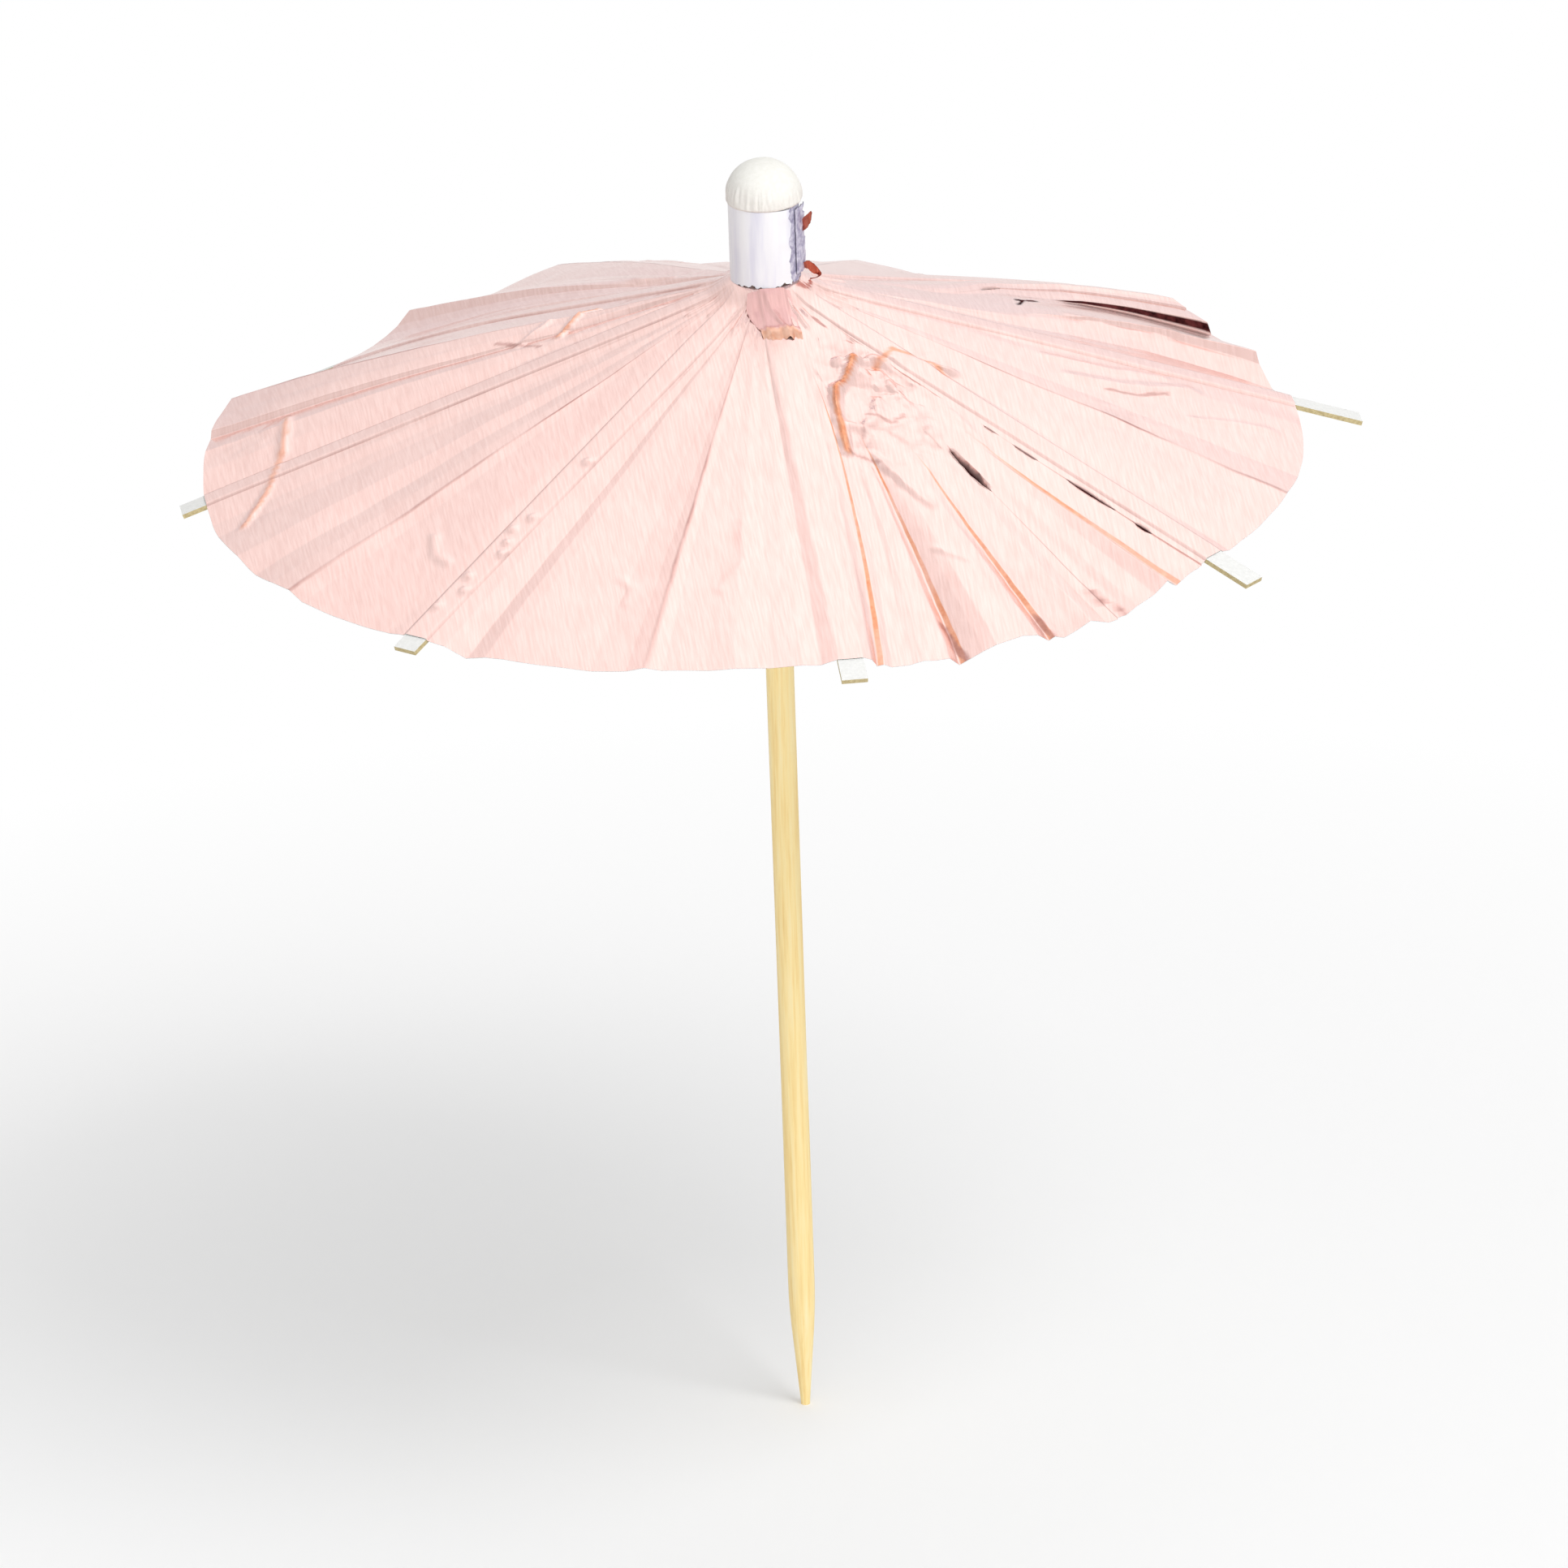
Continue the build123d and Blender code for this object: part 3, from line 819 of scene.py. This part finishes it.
def foil_patch(foil):
    """A flap of foil on the front rib below the sleeve, whose worn end bulges and turns down."""
    along, across = rib_axes(patch_rib)
    row_count, column_count = 44, 40
    thickness = 0.025 * MM
    start_radius, length, tear = 2.74, 4.9, 0.25
    clearance, bulge_height, end_drop, side_drop = 0.10 * MM, 0.20 * MM, 0.10 * MM, 0.09 * MM
    fold_height, crumple = 0.16 * MM, 0.05 * MM

    def place(out, side):
        wave = wobble(side * 4, 0.3, 7.1) + 0.9 * wobble(side * 13, 1.3, 7.1)
        radius = (start_radius + (length + tear * wave) * out) * MM
        left = -1.75 - 0.45 * math.sin(math.pi * min(1, out * 1.35)) + 0.5 * out
        right = 1.35 + 0.30 * out
        sideways = (left + (right - left) * side + 0.06 * wobble(out * 9, side * 2, 1.9)) * MM
        open_share = smooth_step(hub_edge_radius, hub_blend_radius, radius)
        level = hub_lift * (1 - open_share) + strip_level * open_share + clearance
        end = smooth_step(0.86, 1.0, out)
        level += bulge_height * smooth_step(0.70, 0.82, out) * (1 - end) - end_drop * end
        level -= strip_edge * smooth_step(0.85 * MM, 1.15 * MM, abs(sideways))
        level -= side_drop * (1 - smooth_step(0.0, 0.16, min(side, 1 - side)))
        fold = max(0.0, 1 - abs(side - 0.42 - 0.25 * out) / 0.10)
        level += fold_height * fold * smooth_step(0.0, 0.12, out)
        level += crumple * abs(wobble(side * 7, out * 4, 3.6))
        point = along * radius + across * sideways
        return point.x, point.y, ridge_height(radius) + level

    upper = sheet_grid(row_count, column_count, place)
    piece = sheet_piece("foil_patch", upper, upper - np.array((0, 0, thickness)), [foil, foil])
    worn = []
    for row in range(row_count):
        for column in range(column_count):
            share = row / (row_count - 1) + 0.10 * wobble(column * 0.30, row * 0.2, 2.4)
            worn.append(smooth_step(0.74, 0.88, share))
    values = piece.data.attributes.new("worn", "FLOAT", "POINT")
    values.data.foreach_set("value", worn + worn)
    return piece


def smooth_line(points, steps):
    """Points along a smooth curve through the given points."""
    points = [np.array(point, float) for point in points]
    padded = [2 * points[0] - points[1]] + points + [2 * points[-1] - points[-2]]
    line = []
    for first, start, stop, last in zip(padded, padded[1:], padded[2:], padded[3:]):
        for step in range(steps):
            share = step / steps
            line.append(0.5 * (2 * start + (stop - first) * share
                               + (2 * first - 5 * start + 4 * stop - last) * share ** 2
                               + (3 * start - first - 3 * stop + last) * share ** 3))
    return line + [points[-1]]


def ribbon(name, left, right, material):
    """A scrap of foil between two smooth edges, with torn sides."""
    column_count = 9
    thickness = 0.05 * MM
    rows = list(zip(smooth_line(left, 8), smooth_line(right, 8)))
    upper = []
    for row, (start, stop) in enumerate(rows):
        for column in range(column_count):
            side = column / (column_count - 1)
            ragged = 0.08 * wobble(row * 0.9, side * 2, 6.6) * abs(2 * side - 1)
            upper.append((start + (stop - start) * (side + ragged)) * MM)
    grid = np.reshape(upper, (len(rows), column_count, 3))
    return sheet_piece(name, grid, grid - grid_normals(grid) * thickness, [material, material])


# Materials

foil_metallic = 0.75


def new_material(name):
    material = bpy.data.materials.new(name)
    material.use_nodes = True
    return material, material.node_tree, material.node_tree.nodes["Principled BSDF"]


def new_node(tree, kind, values=None, links=None):
    """A shader node, with constant values and links for its sockets."""
    node = tree.nodes.new("ShaderNode" + kind)
    for socket, value in (values or {}).items():
        node.inputs[socket].default_value = value
    for socket, source in (links or {}).items():
        tree.links.new(source, node.inputs[socket])
    return node


def combined(tree, operation, first, second):
    node = new_node(tree, "Math", links={0: first, 1: second})
    node.operation = operation
    return node.outputs[0]


def mixed_colour(tree, factor, first, second):
    mix = new_node(tree, "Mix")
    mix.data_type = "RGBA"
    for socket, source in (("Factor", factor), (6, first), (7, second)):
        tree.links.new(source, mix.inputs[socket])
    return mix.outputs[2]


def mixed_shader(tree, factor, first, second):
    return new_node(tree, "MixShader", links={"Fac": factor, 1: first, 2: second}).outputs[0]


def position(tree, scale=(1, 1, 1), turn=(0, 0, 0)):
    """Object coordinates in millimetres, stretched and turned."""
    coordinates = new_node(tree, "TexCoord")
    values = {"Rotation": turn, "Scale": [factor / MM for factor in scale]}
    return new_node(tree, "Mapping", values, {"Vector": coordinates.outputs["Object"]}).outputs["Vector"]


def noise_texture(tree, vector, scale, detail=2.0, roughness=0.5):
    values = {"Scale": scale, "Detail": detail, "Roughness": roughness}
    return new_node(tree, "TexNoise", values, {"Vector": vector}).outputs["Fac"]


def colour_ramp(tree, value, stops):
    ramp = new_node(tree, "ValToRGB", links={"Fac": value})
    elements = ramp.color_ramp.elements
    for element, (place, colour) in zip(elements, (stops[0], stops[-1])):
        element.position = place
        element.color = (*colour, 1)
    for place, colour in stops[1:-1]:
        elements.new(place).color = (*colour, 1)
    return ramp.outputs["Color"]


def value_range(tree, value, low, high, start=0.0, stop=1.0):
    """A value from start to stop, mapped to low to high."""
    values = {"From Min": start, "From Max": stop, "To Min": low, "To Max": high}
    return new_node(tree, "MapRange", values, {"Value": value}).outputs["Result"]


def add_bump(tree, shader, height, depth):
    """A bump of a depth in metres, on top of any bump that the shader already has."""
    bump = new_node(tree, "Bump", {"Distance": depth, "Strength": 1.0}, {"Height": height})
    earlier = shader.inputs["Normal"].links
    if earlier:
        tree.links.new(earlier[0].from_socket, bump.inputs["Normal"])
    tree.links.new(bump.outputs["Normal"], shader.inputs["Normal"])


def grained_material(name, stops, roughness, depth, grain, stretch=(1, 1, 1), turn=(0, 0, 0)):
    """A surface coloured and embossed by one grain of noise, given as (scale, detail, roughness)."""
    material, tree, shader = new_material(name)
    texture = noise_texture(tree, position(tree, stretch, turn), *grain)
    tree.links.new(colour_ramp(tree, texture, stops), shader.inputs["Base Color"])
    shader.inputs["Roughness"].default_value = roughness
    add_bump(tree, shader, texture, depth)
    return material


def foil_material(name, low, high, least, most):
    """Metallised paper: a sheen softened by the paper's fine fibre lines, least to most rough."""
    line_stretch, line_turn = (6.4, 0.42, 0.42), (0, 0, math.radians(-14))
    material = grained_material(name, [(0.30, low), (0.70, high)], most, 0.008 * MM, (1.0, 1, 0.5),
                                line_stretch, line_turn)
    tree = material.node_tree
    shader = tree.nodes["Principled BSDF"]
    shader.inputs["Metallic"].default_value = foil_metallic
    clouds = noise_texture(tree, position(tree), 0.12, 2, 0.5)
    tree.links.new(value_range(tree, clouds, least, most), shader.inputs["Roughness"])
    ripples = noise_texture(tree, position(tree), 1.1, 3, 0.55)
    add_bump(tree, shader, ripples, 0.012 * MM)
    return material


def add_wear_and_shade(material, attribute, low, high):
    """Another colour where the mesh says so: worn foil, painted shade, or creased foil darkened partly with
    painted shade.
    """
    tree = material.node_tree
    base = tree.nodes["Principled BSDF"].inputs["Base Color"]
    amount = new_node(tree, "Attribute")
    amount.attribute_name = attribute
    mottle = noise_texture(tree, position(tree), 1.6, 3, 0.6)
    colour = colour_ramp(tree, mottle, [(0.3, low), (0.7, high)])
    tree.links.new(mixed_colour(tree, amount.outputs["Fac"], base.links[0].from_socket, colour), base)
    return amount.outputs["Fac"]


def paper_material(name, colour, shade, roughness=0.8, felt=3.0):
    """Uncoated paper: mottled, with a fine felt of fibres."""
    return grained_material(name, [(0.3, shade), (0.7, colour)], roughness, 0.02 * MM, (felt, 4, 0.6))


def card_material(name, wound=False):
    """White-faced card whose cut edges show the tan core. A wound band's edges are its two ends."""
    material, tree, shader = new_material(name)
    coordinates = new_node(tree, "TexCoord")
    split = new_node(tree, "SeparateXYZ", links={"Vector": coordinates.outputs["Normal"]})
    upright = new_node(tree, "Math", links={0: split.outputs["Z"]})
    upright.operation = "ABSOLUTE"
    felt = noise_texture(tree, position(tree), 4.0, 4, 0.6)
    face = colour_ramp(tree, felt, [(0.3, (0.80, 0.80, 0.78)), (0.7, (0.90, 0.90, 0.88))])
    core = colour_ramp(tree, felt, [(0.3, (0.42, 0.33, 0.16)), (0.7, (0.62, 0.52, 0.29))])
    level = value_range(tree, upright.outputs[0], 0.0, 1.0, 0.45, 0.6)
    colour = mixed_colour(tree, level, face if wound else core, core if wound else face)
    tree.links.new(colour, shader.inputs["Base Color"])
    shader.inputs["Roughness"].default_value = 0.7
    add_bump(tree, shader, felt, 0.015 * MM)
    return material


# Stage


def make_floor():
    """A white floor that fades to plain white far from the umbrella, and lets a view from below through."""
    reach = 4.0
    fade_start, fade_stop = 0.03, 0.14
    mirrored_share = 0.6
    material = bpy.data.materials.new("floor_white")
    material.use_nodes = True
    tree = material.node_tree
    tree.nodes.clear()
    diffuse = new_node(tree, "BsdfDiffuse", {"Color": (0.93, 0.93, 0.93, 1)})
    white = new_node(tree, "Emission")
    clear = new_node(tree, "BsdfTransparent")
    geometry = new_node(tree, "NewGeometry")
    path = new_node(tree, "LightPath")
    length = new_node(tree, "VectorMath", links={0: geometry.outputs["Position"]})
    length.operation = "LENGTH"
    far = value_range(tree, length.outputs["Value"], 0.0, 1.0, fade_start, fade_stop)
    mirrored = value_range(tree, path.outputs["Is Glossy Ray"], 0.0, mirrored_share)
    seen = combined(tree, "MAXIMUM", path.outputs["Is Camera Ray"], mirrored)
    fade = mixed_shader(tree, combined(tree, "MULTIPLY", far, seen), diffuse.outputs[0], white.outputs[0])
    through = mixed_shader(tree, geometry.outputs["Backfacing"], fade, clear.outputs[0])
    new_node(tree, "OutputMaterial", links={"Surface": through})
    corners = [(-reach, -reach, 0), (reach, -reach, 0), (reach, reach, 0), (-reach, reach, 0)]
    floor = new_piece("floor", corners, [(0, 1, 2, 3)], [material])


def direction(azimuth, elevation):
    """Unit vector towards a place round the umbrella, from degrees: azimuth 0 in front, 90 on the right."""
    turn, rise = math.radians(azimuth), math.radians(elevation)
    return Vector((math.sin(turn) * math.cos(rise), -math.cos(turn) * math.cos(rise), math.sin(rise)))


def sky_patch(tree, ray, azimuth, elevation, inner, outer, inside, outside):
    """One value inside a round patch of the sky and another outside it."""
    facing = new_node(tree, "VectorMath", {1: direction(azimuth, elevation)}, {0: ray})
    facing.operation = "DOT_PRODUCT"
    low, high = math.cos(math.radians(outer)), math.cos(math.radians(inner))
    return value_range(tree, facing.outputs["Value"], outside, inside, low, high)


def make_world():
    """A white studio, brighter behind the umbrella on the right, and a little cooler at the horizon."""
    matt_level = 0.68
    world = bpy.data.worlds.new("studio")
    bpy.context.scene.world = world
    world.use_nodes = True
    tree = world.node_tree
    ray = new_node(tree, "TexCoord").outputs["Generated"]
    split = new_node(tree, "SeparateXYZ", links={"Vector": ray})
    tint = colour_ramp(tree, split.outputs["Z"], [(0.0, (0.93, 0.92, 0.96)), (0.4, (1.0, 1.0, 1.0))])
    path = new_node(tree, "LightPath")
    level = value_range(tree, path.outputs["Is Glossy Ray"], matt_level, 1.0)
    for patch in sky_patches:
        level = combined(tree, "MULTIPLY", level, sky_patch(tree, ray, *patch))
    studio = tree.nodes["Background"]
    tree.links.new(tint, studio.inputs["Color"])
    tree.links.new(level, studio.inputs["Strength"])
    plain = new_node(tree, "Background", {"Color": (1, 1, 1, 1)})
    mix = mixed_shader(tree, path.outputs["Is Camera Ray"], studio.outputs[0], plain.outputs[0])
    tree.links.new(mix, tree.nodes["World Output"].inputs["Surface"])


def face_target(holder, towards, distance, roll=0):
    """Puts a lamp or the camera at a distance from the view's target, facing it."""
    holder.location = view_target + towards * distance
    holder.rotation_mode = "QUATERNION"
    turned = Quaternion((0, 0, 1), -math.radians(roll))
    holder.rotation_quaternion = (-towards).to_track_quat("-Z", "Y") @ turned


def make_lamp(name, azimuth, elevation, size, power):
    """A soft screen that lights the matt surfaces. Mirrors see the sky instead."""
    lamp = bpy.data.lights.new(name, "AREA")
    lamp.shape = "SQUARE"
    lamp.size = size
    lamp.energy = power
    holder = add_object(name, lamp)
    face_target(holder, direction(azimuth, elevation), lamp_distance)
    holder.visible_glossy = False


def make_camera():
    camera = bpy.data.cameras.new("camera")
    camera.sensor_width = 36
    camera.lens = camera.sensor_width * view_distance / view_width
    camera.clip_end = 20
    holder = add_object("camera", camera)
    face_target(holder, direction(view_azimuth, view_elevation), view_distance, view_roll)
    bpy.context.scene.camera = holder


# Assembly

rose = ((0.89, 0.61, 0.56), (0.965, 0.695, 0.645))
foil = foil_material("rose_foil", *rose, 0.16, 0.25)
patch_foil = foil_material("patch_foil", (0.84, 0.50, 0.47), (0.92, 0.57, 0.54), 0.25, 0.35)
canopy_foil = foil_material("canopy_foil", *rose, 0.16, 0.25)
add_wear_and_shade(canopy_foil, "worn", (0.76, 0.27, 0.13), (0.90, 0.43, 0.26))
# Dark creased foil along lines, rib edges and crumples, partly painted shade
add_wear_and_shade(canopy_foil, "crease", (0.34, 0.14, 0.12), (0.52, 0.25, 0.22))
# Painted shade: near-black foil in the steep folds, the slits and the sliver
painted_shade_places = add_wear_and_shade(canopy_foil, "deep", (0.02, 0.004, 0.005), (0.13, 0.03, 0.03))
foil_tree = canopy_foil.node_tree
foil_shader = foil_tree.nodes["Principled BSDF"]
# Where shade is painted the foil loses its metal and its gloss, so that the painted shade stays dark
for socket, level in (("Specular IOR Level", 0.5), ("Metallic", foil_metallic)):
    foil_tree.links.new(value_range(foil_tree, painted_shade_places, level, 0.0), foil_shader.inputs[socket])
add_wear_and_shade(patch_foil, "worn", (0.80, 0.38, 0.24), (0.95, 0.60, 0.46))
red_foil = foil_material("red_foil", (0.42, 0.05, 0.03), (0.80, 0.26, 0.16), 0.20, 0.30)
white_paper = paper_material("white_paper", (0.86, 0.86, 0.85), (0.76, 0.76, 0.75))
card = card_material("ribbed_card")
wound_card = card_material("wound_card", wound=True)
# Pale birch with long grain lines, smooth paper with bluish upright streaks, and milky plastic
birch = grained_material("pale_birch", [(0.25, (0.88, 0.60, 0.22)), (0.5, (0.98, 0.77, 0.36)),
                                        (0.75, (0.98, 0.84, 0.50))],
                         0.55, 0.05 * MM, (1.0, 4, 0.6), (3.0, 3.0, 0.12))
sleeve_paper = grained_material("sleeve_paper", [(0.34, (0.79, 0.80, 0.895)), (0.50, (0.90, 0.915, 0.955)),
                                                 (0.70, (0.95, 0.965, 0.975))],
                                0.35, 0.05 * MM, (1.0, 3, 0.55), (0.9, 0.9, 0.10))
plastic = grained_material("milky_plastic", [(0.3, (0.78, 0.79, 0.80)), (0.7, (0.86, 0.87, 0.88))],
                           0.25, 0.01 * MM, (1.2, 2, 0.5))
# Mottled violet-grey paper that paints the shade at the sleeve's lap
lap_shade = paper_material("lap_shade", (0.78, 0.77, 0.88), (0.22, 0.20, 0.36), 0.5, 2.2)
tissue = paper_material("tissue", (0.91, 0.90, 0.855), (0.85, 0.84, 0.785), 0.9)
plain_paper = paper_material("plain_paper", (0.72, 0.69, 0.61), (0.60, 0.57, 0.49))

finishes = {"stick": birch, "finial_cap": tissue, "top_sleeve": sleeve_paper, "rib_band": wound_card,
            "canopy_collar": foil, "strut_band": wound_card, "spacer_roll": plain_paper,
            "retaining_ring": plastic}
for name, node in frame["nodes"].items():
    node.data.materials.clear()
    node.data.materials.append(finishes.get(name, card))

for number in range(1, rib_count + 1):
    before, ridge, after = canopy_gore(number, canopy_foil, white_paper)
    for piece in (before, ridge, after):
        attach(piece, f"rib_{number}")
        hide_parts(f"canopy_gore_{number}")
    for piece, side in ((before, -1), (after, 1)):
        sector = number if side > 0 else (number - 2) % rib_count + 1
        folded_share(sector, side)
        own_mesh(piece)

for number in rib_droop:
    rib = bent_rib(number, card)
    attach(rib, f"rib_{number}")
    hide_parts(f"rib_{number}")

sleeve = wound_sleeve(sleeve_paper, lap_shade)
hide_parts("top_sleeve")
flap = lap_flap(lap_shade)
cap = tissue_cap(tissue)
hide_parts("finial_cap")
upper_scrap = ribbon("upper_scrap", [(2.70, -0.60, 94.35), (3.05, -0.90, 94.70), (3.32, -0.95, 95.25),
                                     (3.42, -0.85, 95.85)],
                     [(2.55, -0.30, 94.95), (2.72, -0.55, 95.30), (3.00, -0.70, 95.60),
                      (3.38, -0.75, 95.95)], red_foil)
lower_scrap = ribbon("lower_scrap", [(2.70, -0.70, 91.95), (3.10, -0.95, 92.15), (3.60, -1.00, 91.70),
                                     (4.00, -0.95, 91.05), (3.70, -0.90, 90.75), (3.15, -0.70, 90.62)],
                     [(2.75, -0.40, 91.45), (3.05, -0.60, 91.38), (3.40, -0.65, 91.05),
                      (3.82, -0.60, 90.85), (3.60, -0.55, 90.58), (3.20, -0.50, 90.48)], red_foil)
for piece in (sleeve, flap, cap, upper_scrap, lower_scrap):
    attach(piece, "stick")
patch = foil_patch(patch_foil)
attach(patch, "rib_7")

make_floor()
make_world()
make_lamp("key_screen", 35, 52, size=0.45, power=3.7)
make_lamp("fill_screen", -10, 8, size=0.5, power=1.7)
make_camera()
bpy.context.scene.view_settings.view_transform = "Standard"
